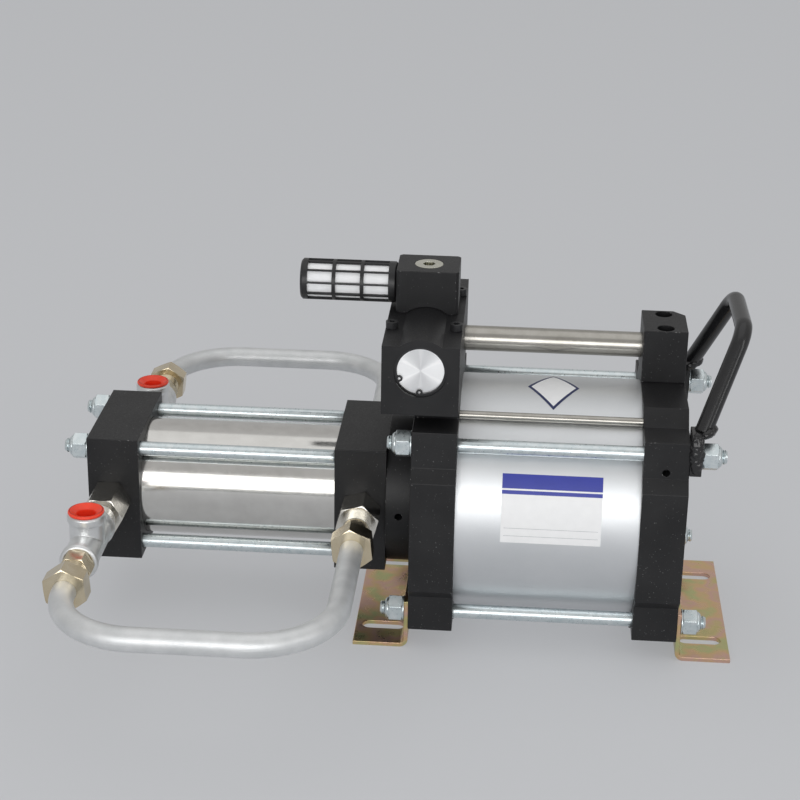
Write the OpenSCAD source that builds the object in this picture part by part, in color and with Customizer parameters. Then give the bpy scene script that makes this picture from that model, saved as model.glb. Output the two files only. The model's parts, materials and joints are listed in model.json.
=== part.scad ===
// Air pressure booster: an air-driven piston pump that raises compressed air or gas about five times.
// A wide drive cylinder pushes a small double-acting gas cylinder through one piston rod.
// Millimetres. X runs along the piston rod, Y to the rear, Z up; Z = 0 is the floor under the feet,
// and the origin is the middle of the four foot slots.

/* [Drive cylinder] */
// Bore of the drive barrel
drive_bore = 160; // [150:1:170]
// Wall of the drive barrel
barrel_wall = 4; // [3:0.5:5]
// Length of barrel that shows between the caps
barrel_gap = 126; // [115:1:140]
// Depth of the barrel's seat in each cap
barrel_seat = 8; // [6:0.5:10]
// Thickness of each flat gasket at a tube end
gasket_t = 1.5; // [1:0.1:2]
// Thickness of a drive cap along the rod
cap_t = 31; // [30:1:40]
// Metal left outside the barrel at the raised pads of a cap
cap_rim = 2; // [1.5:0.5:4]
// Flat length of each raised pad
pad_flat = 82; // [70:1:90]
// Metal from a tie rod's centre to the cap's edge, across
corner_margin_y = 8.5; // [8:0.5:14]
// Metal from a tie rod's centre to the cap's edge, up and down
corner_margin_z = 12; // [9:0.5:14]
// Gap between the barrel and its tie rods
tie_gap = 5; // [3:0.5:7]
// Angle of the tie rods above the level through the axis
tie_angle = 42.5; // [41:0.5:46]
// Gap under the lowest pad
floor_gap = 5; // [3:0.5:10]

/* [Tie rods] */
// Diameter of all tie rods
tie_d = 10; // [8:0.5:11]
// Width of a tie rod nut across its flats
tie_nut_af = 17; // [16:0.5:19]
// Height of a tie rod nut's hexagon
tie_nut_h = 10; // [8:0.5:12]
// Height of the collar on a tie rod's lock nut
tie_collar_h = 2.5; // [1.5:0.25:3]
// Diameter of that collar
tie_collar_d = 15; // [14:0.5:16]
// Diameter of a tie rod washer
tie_washer_d = 18; // [17:0.5:20]
// Thickness of a tie rod washer
tie_washer_t = 1; // [0.75:0.25:2]
// Thread that stands out past a nut
tie_tip = 3.5; // [3:0.5:8]

/* [Gas section] */
// Bore of the gas cylinder
gas_bore = 71.5; // [68:0.5:75]
// Wall of the gas cylinder
gas_wall = 6.25; // [4:0.25:7]
// Length of gas cylinder that shows between the heads
gas_gap = 139; // [135:1:155]
// Depth of the gas cylinder's seat in each head
gas_seat = 6; // [5:0.5:7]
// Thickness of a gas head along the rod
head_t = 36.5; // [36:0.5:44]
// Gap between the gas cylinder and its tie rods
gas_tie_gap = 4.2; // [3:0.1:9]
// Metal from a gas tie rod's centre to the head's edge
head_margin = 10; // [10:0.5:14]
// Depth of a gas tie rod's thread in the right head
gas_tie_grip = 20; // [15:1:24]
// Length of the round distance flange between cap and head
spacer_t = 19; // [16:0.5:30]
// Diameter of the distance flange
spacer_d = 108; // [90:1:110]
// Diameter of the flange's register in cap and head
register_d = 40; // [38:1:46]
// Depth of that register
register_t = 3; // [2:0.5:4]
// Vent hole in the flange
spacer_vent_d = 5; // [3:0.5:7]

/* [Pistons and rod] */
// Diameter of the piston rod
rod_d = 22; // [20:0.5:24]
// Diameter of the rod's ends in the pistons
rod_end_d = 16; // [14:0.5:17]
// Thickness of the drive piston
drive_piston_t = 34; // [30:1:38]
// Thickness of the gas piston
gas_piston_t = 34; // [30:1:38]
// Depth of the seal grooves in the drive piston
drive_groove = 6; // [4:0.5:8]
// Depth of the seal grooves in the gas piston
gas_groove = 4; // [3:0.5:5]
// Width of a piston seal
seal_w = 6; // [5:0.5:7]
// Width of a rod nut across its flats
rod_nut_af = 24; // [22:1:26]
// Height of a rod nut
rod_nut_h = 10; // [8:0.5:12]
// Wall of the rod bushes
bush_wall = 4; // [3:0.5:5]

/* [Gas lines] */
// Thread diameter of a check valve in its head
port_d = 20; // [18:0.5:22]
// Depth of that thread
port_depth = 12; // [10:0.5:13]
// Width of a check valve's hexagon across its flats
check_af = 27; // [26:0.5:30]
// Length of a check valve's hexagon
check_len = 32; // [28:0.5:36]
// Length of a right check valve's hexagon, before its round end
check_hex_right = 24.5; // [20:0.5:27]
// Turn of a right check valve's hexagon, as it was tightened
check_turn_right = 15; // [0:1:59]
// Bore of the valve chamber in it
check_bore = 13; // [11:0.5:14]
// Length of the valve chamber
check_room = 24; // [22:0.5:24]
// Way through each end of the chamber
check_way = 8; // [6:0.5:9]
// Thread that shows between a left check valve and its tee
neck_show = 11; // [4:0.5:14]
// Thread of a check valve inside what is screwed on it
neck_grip = 11; // [9:0.5:12]
// Tee, from its middle to an end of its run
tee_half = 29; // [28:0.5:36]
// Tee, from its middle to the end of its branch
tee_branch = 24; // [21:0.5:30]
// Diameter of the tee's body
tee_d = 23.5; // [23:0.5:27]
// Diameter of the bands round the tee's ends
band_d = 26; // [25.5:0.5:32]
// Width of those bands
band_w = 6; // [5:0.5:10]
// Diameter of the dust plug's rim
dust_rim_d = 24.5; // [24:0.5:28]
// Thickness of the dust plug's rim
dust_rim_t = 2; // [1.5:0.25:3]
// Depth of the dust plug in the tee
dust_depth = 10; // [8:0.5:12]
// Wall of the dust plug
dust_wall = 3.5; // [1.5:0.25:4]
// Width of a pipe adaptor's hexagon across its flats
adaptor_af = 20; // [19.5:0.5:27]
// Length of a pipe adaptor's hexagon
adaptor_len = 14; // [7:0.5:18]
// Thread that shows between a tee's adaptor and its pipe nut
adaptor_show = 11; // [2:0.5:12]
// Width of a pipe nut across its flats
pipe_nut_af = 27; // [27:0.5:30]
// Length of a pipe nut
pipe_nut_len = 15; // [13:0.5:24]
// Turn of the pipe nuts' hexagons, as they were tightened
pipe_nut_turn = 36; // [0:1:59]
// Outer diameter of the gas pipes
pipe_d = 16; // [14:0.5:16]
// Wall of the gas pipes
pipe_wall = 2; // [1:0.25:2.5]
// Bend radius of a gas pipe along its middle
bend_r = 54; // [45:1:60]
// Distance of a pipe's long run from the rod's axis
pipe_out = 244; // [236:1:270]
// Distance of the left lines beyond the middle of their head
line_shift = 3; // [0:0.5:4]

/* [Cycle valve] */
// Width of the valve body along the rod
valve_w = 52.5; // [52:0.5:58]
// Length of the valve body from front to rear
valve_len = 146; // [140:1:160]
// Height of the valve body's shoulders above its seat
shoulder_h = 49; // [46:0.5:51]
// Height of the spool's axis above the seat
spool_h = 31; // [29:0.5:32]
// Bore of the valve body
valve_bore = 36; // [34:0.5:37]
// Metal round that bore at the crest
crest_wall = 5; // [4:0.5:5.5]
// Thickness of an end disc
disc_t = 8; // [6:0.5:9]
// Depth of an end disc below the valve's face
disc_recess = 3.5; // [3:0.25:4.5]
// Thickness of a circlip
circlip_t = 1.5; // [1:0.25:2]
// Length of the ported sleeve
sleeve_len = 100; // [96:1:104]
// Bore of the sleeve
sleeve_bore = 23; // [21:0.5:24]
// Length of the spool
spool_len = 92; // [88:1:96]
// Travel of the spool
spool_travel = 16; // [10:1:18]
// Thread diameter of the valve screws
valve_screw_d = 5; // [4:0.5:5]
// Distance of a valve screw from the side of the body
valve_screw_edge = 4.25; // [4:0.25:4.5]
// Distance between the front and rear valve screws
valve_screw_pitch = 74; // [66:1:90]
// Length of a valve screw under its head
valve_screw_len = 18; // [14:1:19]

/* [Exhaust] */
// Width of the exhaust block along the rod
block_w = 43.5; // [42:0.5:46]
// Depth of the exhaust block from front to rear
block_d = 38; // [36:0.5:42]
// Height of the exhaust block
block_h = 31; // [30:0.5:36]
// Distance of the exhaust block behind the middle of the valve
block_y = 12; // [8:0.5:12]
// Chamfer on the block's upright edges
block_chamfer = 2; // [1:0.5:3]
// Diameter of the screwed plug on top of the block
port_plug_d = 20; // [18:0.5:22]
// Depth of that plug
port_plug_t = 8; // [6:0.5:9]
// Outer diameter of the silencer
silencer_d = 29; // [26:0.5:30]
// Height of the silencer's axis above the block's foot
silencer_h = 16.5; // [15.5:0.5:17]
// Length of the silencer outside the block
silencer_len = 68; // [60:1:80]
// Wall of the silencer's cage
cage_wall = 2; // [1.5:0.25:2.5]
// Thread diameter of the silencer
silencer_thread_d = 16; // [14:0.5:17]
// Columns of windows along the cage
cage_columns = 3; // [2:1:4]
// Windows in one turn of the cage
cage_rows = 10; // [8:2:12]
// Width of the bars between the windows
cage_bar = 1.7; // [1.5:0.1:3]

/* [Air lines] */
// Outer diameter of the transfer tube
tube_d = 18; // [16:0.5:19]
// Wall of the transfer tube
tube_wall = 2; // [1:0.25:3]
// Height of the transfer tube above the seats
tube_h = 20; // [18:0.5:21]
// Depth of both air tubes in their seats
tube_grip = 8; // [6:0.5:9]
// Distance of the tower's front behind the rod's axis
tower_front = 6; // [2:0.5:8]
// Depth of the tower from front to rear
tower_d = 44; // [43:0.5:48]
// Height of the tower
tower_h = 38.5; // [36:0.5:44]
// Chamfer on the tower's rear outer edge
tower_chamfer = 8; // [4:0.5:9]
// Diameter of the sunk holes on top of the tower
tower_hole_d = 12; // [11:0.5:13]
// Distance between those holes
tower_hole_pitch = 29.5; // [29:0.5:31]
// Depth of those holes to the screw's seat
tower_hole_t = 16; // [12:0.5:18]
// Thread diameter of the tower's screws
tower_screw_d = 6; // [5:0.5:6]
// Depth of those screws in the cap
tower_screw_grip = 14; // [10:0.5:16]
// Outer diameter of the pilot tube
pilot_d = 6; // [5.5:0.5:8]
// Distance of the pilot tube in front of the rod's axis
pilot_y = 44; // [42:0.5:45]
// Gap between the pilot tube and the barrel
pilot_gap = 0.75; // [0.5:0.25:2]

/* [Pilot pins] */
// Distance of a pilot pin behind and above the rod's axis
pin_place = 45; // [40:0.5:48]
// Diameter of a pilot pin
pin_d = 5; // [4:0.5:6]
// Length of a pin that stands out into the barrel
pin_reach = 4; // [3:0.5:5]
// Bore behind a pin
pin_bore = 12; // [11:0.5:13]
// Metal between that bore and the barrel's room
pin_web = 9; // [8:0.5:11]
// Thickness of the plug that closes the bore
pin_plug_t = 6; // [5:0.5:7]

/* [Feet and handle] */
// Thickness of the bracket plate
bracket_t = 3; // [2.5:0.5:4]
// Length of a foot along the rod
foot_len = 39; // [36:1:44]
// Width of a bracket
bracket_w = 152; // [150:1:176]
// Length of a foot slot
slot_len = 30; // [24:1:32]
// Width of a foot slot
slot_w = 10.5; // [9:0.5:12]
// Distance between the slots of one foot
slot_pitch = 100; // [90:1:110]
// Distance of a slot's middle from the cap
slot_out = 19; // [18.5:0.5:20.5]
// Bend radius on the outside of a bracket
bracket_bend = 6; // [4:0.5:8]
// Diameter of the handle's bar
handle_d = 12; // [10:0.5:13]
// Height of the handle above its feet, along its lean
handle_h = 68; // [60:1:80]
// Lean of the handle away from the upright
handle_lean = 22; // [18:1:26]
// Width of the handle at the top, corner to corner
handle_top_w = 72; // [66:1:90]
// Bend radius of the handle along its middle
handle_bend = 18; // [14:1:20]
// Thickness of a handle lug
lug_t = 8; // [6:0.5:9]
// Width of a handle lug
lug_w = 18; // [16:0.5:20]
// Height of a lug above its tie rod
lug_up = 18; // [16:0.5:20]
// Height of a lug below its tie rod
lug_down = 11.5; // [10:0.5:14]

/* [Fits] */
// Clearance on the radius between a fixed piece and its seat
seat_fit = 0.05; // [0.02:0.01:0.1]
// Clearance on the radius of a piece that runs in a bore
run_fit = 0.05; // [0.03:0.01:0.1]
// Clearance on the radius of a bolt or rod in its hole
bolt_fit = 0.3; // [0.2:0.05:0.5]
// Rest gap in front of a sprung piece's stop
stop_gap = 0.3; // [0.2:0.05:0.5]
// Clearance on the radius of a piston without its seals
piston_fit = 0.4; // [0.3:0.05:0.6]

/* [Hidden] */
$fn = 96;
// Overshoot of a cut beyond a face
eps = 1;

// Drive cylinder
bore_r = drive_bore / 2;
barrel_r = bore_r + barrel_wall;
pad_r = barrel_r + cap_rim;
axis_z = pad_r + floor_gap;
seat_z = axis_z + pad_r;
cap_in = barrel_gap / 2;
cap_out = cap_in + cap_t;
cap_mid = cap_in + cap_t / 2;
tie_r = barrel_r + tie_gap + tie_d / 2;
tie_y = tie_r * cos(tie_angle);
tie_z = tie_r * sin(tie_angle);
corner_y = tie_y + corner_margin_y;
corner_z = tie_z + corner_margin_z;
tie_hole_d = tie_d + 2 * bolt_fit;
tie_end = tie_washer_t + tie_nut_h + tie_collar_h + tie_tip;

// Gas section, from the drive cap towards -X
spacer_x = -cap_out - spacer_t;
head_r_x = spacer_x - head_t;
head_l_in = head_r_x - gas_gap;
head_l_x = head_l_in - head_t;
gas_mid = head_r_x - gas_gap / 2;
gas_r = gas_bore / 2;
gas_outer_r = gas_r + gas_wall;
gas_tie = (gas_outer_r + gas_tie_gap + tie_d / 2) / sqrt(2);
head_half = gas_tie + head_margin;
gas_tie_x = head_l_x - tie_end;
gas_tie_len = head_r_x + gas_tie_grip - gas_tie_x;

// Gas lines: the left pair carries the tees
line_left = head_l_x + head_t / 2 - line_shift;
line_right = head_r_x + head_t / 2;
neck_gap = 1;
neck_left = neck_show + neck_grip;
neck_right = neck_gap + neck_grip;
tee_start = check_len + neck_show;
tee_mid = tee_start + tee_half;
tee_end = tee_mid + tee_half;
port_grip = neck_grip;
tee_bore_d = check_way + 6;
room_start = (check_len - check_room) / 2;
poppet_r = check_bore / 2 - 0.6;
poppet_t = 4;
poppet_stem_r = check_bore / 2 - 4;
spring_wire = 0.5;
spring_turns = 5;
nut_wall = 5;
nut_gap = 1.5;
tail_grip = pipe_nut_len - nut_wall - 0.5;
tail_d = pipe_d + 3;
neck_bore = tail_d - 5;
pipe_socket = tail_grip - 2;

// Cycle valve on the left cap
valve_x1 = -cap_in;
valve_x0 = valve_x1 - valve_w;
valve_mid = (valve_x0 + valve_x1) / 2;
valve_end = valve_len / 2;
spool_z = seat_z + spool_h;
shoulder_z = seat_z + shoulder_h;
valve_r = valve_bore / 2;
crest_r = valve_r + crest_wall;
disc_out = valve_end - disc_recess;
disc_in = disc_out - disc_t;
circlip_in = 2;
circlip_groove = 1.8;
valve_screw_x = valve_w / 2 - valve_screw_edge;
sleeve_way_d = 6;
sleeve_groove = 1.5;
spool_lands = 4;
spool_waist_r = sleeve_bore / 2 - 4;
air_way_d = 12;
cylinder_way_y = 28;
way_drop = 26;

// Exhaust block and silencer
block_x0 = valve_mid - block_w / 2;
silencer_z = shoulder_z + silencer_h;
cage_r = silencer_d / 2;
cage_collar = 5;
cage_end = 4;
cage_lip = 1;
cage_rings = 2.5;
window_start = cage_collar + cage_lip;
window_room = silencer_len - window_start - cage_lip - cage_end;
window_len = (window_room - (cage_columns - 1) * cage_rings) / cage_columns;
window_w = 2 * PI * cage_r / cage_rows - cage_bar;
silencer_grip = 11;
silencer_way_d = silencer_thread_d - 5;

// Transfer tower on the right cap
tower_mid = tower_front + tower_d / 2;
tube_z = seat_z + tube_h;
pilot_z = sqrt(pow(barrel_r + pilot_gap + pilot_d / 2, 2) - pow(pilot_y, 2));

// Drive air inlet on the rear of the left cap
inlet_d = 18.6;
inlet_t = 16;
inlet_x = cap_in + barrel_seat + 1.2 + inlet_d / 2;
inlet_z = 28;

// Feet and handle
flange_h = axis_z - spacer_d / 2 - 1;
slot_x = cap_out + slot_out;
handle_foot_y = tie_y - 3;
handle_foot_z = axis_z + tie_z + lug_up - 2;
leg_angle = atan((handle_foot_y - handle_top_w / 2) / handle_h);
bend_turn = 90 - leg_angle;
bend_tangent = handle_bend * tan(bend_turn / 2);

// A cylinder along X from x, at y and at height z over the rod's axis
module rod_x(x, len, d, y = 0, z = 0) {
    translate([x, y, axis_z + z]) rotate([0, 90, 0]) cylinder(h = len, d = d);
}

// A ring along X
module ring_x(x, len, d_out, d_in) {
    difference() {
        rod_x(x, len, d_out);
        rod_x(x - eps, len + 2 * eps, d_in);
    }
}

// An upright cylinder from z up
module post(x, y, z, len, d) {
    translate([x, y, z]) cylinder(h = len, d = d);
}

// A cylinder along Y from y
module rod_y(x, y, z, len, d) {
    translate([x, y, z]) rotate([-90, 0, 0]) cylinder(h = len, d = d);
}

// A hexagon with chamfered corners, standing on z = 0
module hexagon(af, h) {
    corner_r = af / sqrt(3);
    fall = (corner_r - af / 2) * tan(30);
    intersection() {
        cylinder(h = h, r = corner_r, $fn = 6);
        rotate_extrude()
            polygon([[0, 0], [af / 2, 0], [corner_r, fall], [corner_r, h - fall], [af / 2, h], [0, h]]);
    }
}

// A nut with a plain bore
module nut(af, h, d) {
    difference() {
        hexagon(af, h);
        translate([0, 0, -eps]) cylinder(h = h + 2 * eps, d = d);
    }
}

// A solid skin over rings of points, each ring with the given number of sides
module swept(points, sides) {
    rings = len(points) / sides;
    wall = [
        for (i = [0:rings - 2], j = [0:sides - 1], half = [0, 1])
            let (k = (j + 1) % sides, p = i * sides, q = p + sides)
            half == 0 ? [p + j, p + k, q + k] : [p + j, q + k, q + j]
    ];
    start = [for (j = [sides - 1:-1:0]) j];
    finish = [for (j = [0:sides - 1]) (rings - 1) * sides + j];
    polyhedron(points, concat(wall, [start, finish]));
}

// A round wire wound as a compression spring from z = 0 to len
module coil(r, wire, len, turns) {
    sides = 6;
    steps = turns * 12;
    swept([
        for (i = [0:steps], j = [0:sides - 1])
            let (a = 360 * turns * i / steps, b = 360 * j / sides, reach = r + wire * cos(b))
            [reach * cos(a), reach * sin(a), wire + (len - 2 * wire) * i / steps + wire * sin(b)]
    ], sides);
}

// The four tie rod places of the drive cylinder
module at_drive_ties() {
    for (sy = [-1, 1], sz = [-1, 1])
        translate([0, sy * tie_y, axis_z + sz * tie_z]) rotate([0, 90, 0]) children();
}

// The four tie rod places of the gas cylinder
module at_gas_ties() {
    for (sy = [-1, 1], sz = [-1, 1])
        translate([0, sy * gas_tie, axis_z + sz * gas_tie]) rotate([0, 90, 0]) children();
}

// Out of a gas head along its line: side -1 is the front, 1 the rear
module at_line(x, side) {
    translate([x, side * head_half, axis_z]) rotate([-90 * side, 0, 0]) children();
}

// Outline of a drive cap: tie rod corners with a raised pad on each side
module cap_outline() {
    half = pad_flat / 2;
    quarter = [
        [half, pad_r],
        [half + pad_r - corner_z, corner_z],
        [corner_y, corner_z],
        [corner_y, half + pad_r - corner_y],
        [pad_r, half]
    ];
    last = len(quarter) - 1;
    polygon(concat(
        quarter,
        [for (i = [last:-1:0]) [quarter[i][0], -quarter[i][1]]],
        [for (p = quarter) [-p[0], -p[1]]],
        [for (i = [last:-1:0]) [-quarter[i][0], quarter[i][1]]]
    ));
}

// What both drive caps share, drawn on the +X side
module cap_blank() {
    difference() {
        translate([cap_in, 0, axis_z]) rotate([90, 0, 90]) linear_extrude(cap_t) cap_outline();
        ring_x(cap_in - eps, barrel_seat + eps, 2 * (barrel_r + seat_fit), 2 * (bore_r - seat_fit));
        at_drive_ties() translate([0, 0, cap_in - eps]) cylinder(h = cap_t + 2 * eps, d = tie_hole_d);
        rod_x(cap_in - eps, cap_t + 2 * eps, pin_d + 2 * run_fit, pin_place, pin_place);
        rod_x(cap_in + pin_web, cap_t, pin_bore, pin_place, pin_place);
        rod_x(cap_in - eps, tube_grip + eps, pilot_d + 2 * seat_fit, -pilot_y, pilot_z);
    }
}

// An air way from a cap's seat down and into the barrel, drawn on the +X side
module cap_way(y) {
    post(cap_mid, y, seat_z - way_drop, way_drop + eps, air_way_d);
    rod_x(cap_in - eps, cap_t / 2 + eps, air_way_d, y, pad_r - way_drop);
}

module drive_cap_left() {
    color("#26262a") mirror([1, 0, 0]) difference() {
        cap_blank();
        cap_way(-cylinder_way_y);
        rod_x(cap_in - eps, cap_t + 2 * eps, rod_d + 2 * (bush_wall + seat_fit));
        rod_x(cap_out - register_t, register_t + eps, register_d + 2 * seat_fit);
        rod_y(inlet_x, pad_r - inlet_t, axis_z + inlet_z, inlet_t + eps, inlet_d);
        rod_y(inlet_x, 0, axis_z + inlet_z, pad_r, air_way_d);
        post(inlet_x, 0, axis_z + inlet_z, pad_r - inlet_z + eps, air_way_d);
    }
}

module drive_cap_right() {
    vent_d = 5;
    vent_t = 10;
    vent_z = corner_z - 22;
    color("#26262a") difference() {
        cap_blank();
        cap_way(tower_mid);
        for (side = [-1, 1])
            post(cap_mid, tower_mid + side * tower_hole_pitch / 2, seat_z - tower_screw_grip,
                tower_screw_grip + eps, tower_screw_d + 2 * seat_fit);
        rod_y(cap_mid, -corner_y - pad_r, axis_z + vent_z, pad_r + vent_t, vent_d);
    }
}

module drive_barrel() {
    len = barrel_gap + 2 * (barrel_seat - gasket_t);
    color("#c3c8cc") ring_x(-len / 2, len, 2 * barrel_r, 2 * bore_r);
}

module barrel_gaskets() {
    x = cap_in + barrel_seat - gasket_t;
    color("#1c1c1c") for (start = [x, -x - gasket_t]) ring_x(start, gasket_t, 2 * barrel_r, 2 * bore_r);
}

// What is clamped outside the caps: brackets on the lower rods, handle lugs on the upper right ends
function clamp_left(sz) = sz < 0 ? bracket_t : 0;
function clamp_right(sz) = sz < 0 ? bracket_t : lug_t;

module drive_tie_rods() {
    color("#d3dadd") for (sy = [-1, 1], sz = [-1, 1]) {
        x = -cap_out - clamp_left(sz) - tie_end;
        rod_x(x, cap_out + clamp_right(sz) + tie_end - x, tie_d, sy * tie_y, sz * tie_z);
    }
}

// Puts a piece on each outer end of the drive tie rods, facing out
module at_drive_ends() {
    for (sy = [-1, 1], sz = [-1, 1]) translate([0, sy * tie_y, axis_z + sz * tie_z]) {
        translate([-cap_out - clamp_left(sz), 0, 0]) rotate([0, -90, 0]) children();
        translate([cap_out + clamp_right(sz), 0, 0]) rotate([0, 90, 0]) children();
    }
}

module washer() {
    difference() {
        cylinder(h = tie_washer_t, d = tie_washer_d);
        translate([0, 0, -eps]) cylinder(h = tie_washer_t + 2 * eps, d = tie_hole_d);
    }
}

// A lock nut: a hexagon with a round collar on its outer end
module tie_nut() {
    edge = 1.5;
    translate([0, 0, tie_washer_t]) difference() {
        union() {
            hexagon(tie_nut_af, tie_nut_h);
            translate([0, 0, tie_nut_h - eps]) cylinder(h = tie_collar_h - edge + eps, d = tie_collar_d);
            translate([0, 0, tie_nut_h + tie_collar_h - edge])
                cylinder(h = edge, d1 = tie_collar_d, d2 = tie_collar_d - 2 * edge);
        }
        translate([0, 0, -eps]) cylinder(h = tie_nut_h + tie_collar_h + 2 * eps, d = tie_d + 2 * seat_fit);
    }
}

module drive_tie_washers() {
    color("#d3dadd") at_drive_ends() washer();
}

module drive_tie_nuts() {
    color("#d3dadd") at_drive_ends() tie_nut();
}

// A right-hand bracket: an angle of plate with two slots, and holes for the lower tie rods
module bracket() {
    difference() {
        translate([cap_out, bracket_w / 2, 0]) rotate([90, 0, 0]) linear_extrude(bracket_w) {
            translate([bracket_bend, 0]) square([foot_len - bracket_bend, bracket_t]);
            translate([0, bracket_bend]) square([bracket_t, flange_h - bracket_bend]);
            intersection() {
                square(bracket_bend);
                difference() {
                    translate([bracket_bend, bracket_bend]) circle(bracket_bend);
                    translate([bracket_bend, bracket_bend]) circle(bracket_bend - bracket_t);
                }
            }
        }
        for (side = [-1, 1]) {
            rod_x(cap_out - eps, bracket_t + 2 * eps, tie_hole_d, side * tie_y, -tie_z);
            for (end = [-1, 1])
                post(slot_x + end * (slot_len - slot_w) / 2, side * slot_pitch / 2, -eps,
                    bracket_t + 2 * eps, slot_w);
            translate([slot_x - (slot_len - slot_w) / 2, side * slot_pitch / 2 - slot_w / 2, -eps])
                cube([slot_len - slot_w, slot_w, bracket_t + 2 * eps]);
        }
    }
}

module mounting_bracket_left() {
    color("#c9b25c") mirror([1, 0, 0]) bracket();
}

module mounting_bracket_right() {
    color("#c9b25c") bracket();
}

// The handle's bar in its own plane: leg, bend, cross bar, bend, leg, each stop as [y, z, heading]
function handle_path(steps) =
    let (bend_y = handle_top_w / 2 - bend_tangent, bend_z = handle_h - handle_bend)
    concat(
        [[-handle_foot_y, 0, bend_turn]],
        [for (side = [-1, 1], i = [0:steps])
            let (t = side < 0 ? bend_turn * (1 - i / steps) : -bend_turn * i / steps)
            [side * bend_y - handle_bend * sin(t), bend_z + handle_bend * cos(t), t]],
        [[handle_foot_y, 0, -bend_turn]]
    );

module handle_bar() {
    sides = 24;
    bend_steps = 8;
    r = handle_d / 2;
    swept([
        for (stop = handle_path(bend_steps), j = [0:sides - 1])
            let (b = 360 * j / sides)
            [-r * sin(b), stop[0] - r * cos(b) * sin(stop[2]), stop[1] + r * cos(b) * cos(stop[2])]
    ], sides);
}

// A bent bar that leans out from two lugs on the upper tie rods
module carry_handle() {
    color("#1b1b1d") difference() {
        union() {
            translate([cap_out + lug_t, 0, handle_foot_z]) rotate([0, handle_lean, 0]) handle_bar();
            for (side = [-1, 1])
                translate([cap_out, side * tie_y - lug_w / 2, axis_z + tie_z - lug_down])
                    cube([lug_t, lug_w, lug_up + lug_down]);
        }
        for (side = [-1, 1]) rod_x(cap_out - eps, lug_t + 2 * eps, tie_hole_d, side * tie_y, tie_z);
        // The bar's feet are ground flush with the cap's face
        translate([cap_out - lug_t, -2 * tie_y, axis_z]) cube([lug_t, 4 * tie_y, pad_r + handle_h]);
    }
}

// The valve body: a block with a round crest over the spool's bore
module valve_body() {
    color("#2a2a2e") difference() {
        union() {
            translate([valve_x0, -valve_end, seat_z]) cube([valve_w, valve_len, shoulder_h]);
            rod_y(valve_mid, -valve_end, spool_z, valve_len, 2 * crest_r);
        }
        rod_y(valve_mid, -valve_end - eps, spool_z, valve_len + 2 * eps, valve_bore);
        for (side = [-1, 1])
            rod_y(valve_mid, side * (disc_out + circlip_t / 2) - circlip_t / 2, spool_z,
                circlip_t, valve_bore + 2 * circlip_groove);
        for (sx = [-1, 1], sy = [-1, 1])
            post(valve_mid + sx * valve_screw_x, sy * valve_screw_pitch / 2,
                shoulder_z - valve_screw_len - 1, valve_screw_len + 1 + eps, valve_screw_d + 2 * seat_fit);
        // Ways to the left end of the barrel, from the air inlet, to the tube and to the exhaust
        post(-cap_mid, -cylinder_way_y, seat_z - eps, spool_h + eps, air_way_d);
        post(-inlet_x, 0, seat_z - eps, spool_h + eps, air_way_d);
        rod_x(valve_x1 - tube_grip, tube_grip + eps, tube_d + 2 * seat_fit, tower_mid, tube_z - axis_z);
        rod_x(valve_mid, valve_w / 2, air_way_d, tower_mid, tube_z - axis_z);
        post(valve_mid, block_y, spool_z, crest_r + eps, air_way_d);
    }
}

module valve_screws() {
    head_d = 1.7 * valve_screw_d;
    socket_af = 0.8 * valve_screw_d;
    color("#141416") for (sx = [-1, 1], sy = [-1, 1])
        translate([valve_mid + sx * valve_screw_x, sy * valve_screw_pitch / 2, shoulder_z]) difference() {
            union() {
                cylinder(h = valve_screw_d, d = head_d);
                translate([0, 0, -valve_screw_len])
                    cylinder(h = valve_screw_len + valve_screw_d / 2, d = valve_screw_d);
            }
            translate([0, 0, valve_screw_d / 2])
                cylinder(h = valve_screw_d, d = socket_af * 2 / sqrt(3), $fn = 6);
        }
}

module valve_end_discs() {
    color("#d8dadc") for (side = [-1, 1])
        rod_y(valve_mid, side > 0 ? disc_in : -disc_out, spool_z, disc_t, valve_bore - 2 * seat_fit);
}

// A circlip: an open ring with an eye on each end
module circlip() {
    ring_r = valve_r + circlip_groove - 0.1;
    eye_r = 2.2;
    eye_at = valve_r - eye_r - 0.4;
    gap = 33;
    open = gap - 8;
    difference() {
        union() {
            difference() {
                cylinder(h = circlip_t, r = ring_r);
                translate([0, 0, -eps]) cylinder(h = circlip_t + 2 * eps, r = valve_r - circlip_in);
            }
            for (a = [-gap, gap]) rotate(a) translate([eye_at, 0, 0]) cylinder(h = circlip_t, r = eye_r);
        }
        // The open stretch between the eyes
        translate([0, 0, -eps]) linear_extrude(circlip_t + 2 * eps)
            polygon([[0, 0], 2 * ring_r * [cos(open), -sin(open)], 2 * ring_r * [cos(open), sin(open)]]);
        for (a = [-gap, gap]) rotate(a) translate([eye_at, 0, -eps]) cylinder(h = circlip_t + 2 * eps, r = 1);
    }
}

module valve_circlips() {
    eyes_at = 235;
    color("#1a1a1a") for (side = [0, 1])
        translate([valve_mid, 0, spool_z]) mirror([0, side, 0])
            translate([0, -disc_out, 0]) rotate([90, 0, 0]) rotate(eyes_at) circlip();
}

// The ported sleeve that the spool slides in
module valve_sleeve() {
    color("#b8a27a") difference() {
        rod_y(valve_mid, -sleeve_len / 2, spool_z, sleeve_len, valve_bore - 2 * seat_fit);
        rod_y(valve_mid, -sleeve_len / 2 - eps, spool_z, sleeve_len + 2 * eps, sleeve_bore);
        for (y = [-cylinder_way_y, 0, tower_mid]) {
            difference() {
                rod_y(valve_mid, y - air_way_d / 2, spool_z, air_way_d, valve_bore + 2 * eps);
                rod_y(valve_mid, y - air_way_d, spool_z, 2 * air_way_d, valve_bore - 2 * sleeve_groove);
            }
            post(valve_mid, y, spool_z - valve_bore, 2 * valve_bore, sleeve_way_d);
            rod_x(valve_mid - valve_bore, 2 * valve_bore, sleeve_way_d, y, spool_z - axis_z);
        }
        post(valve_mid, block_y, spool_z, valve_bore, sleeve_way_d);
    }
}

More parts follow.
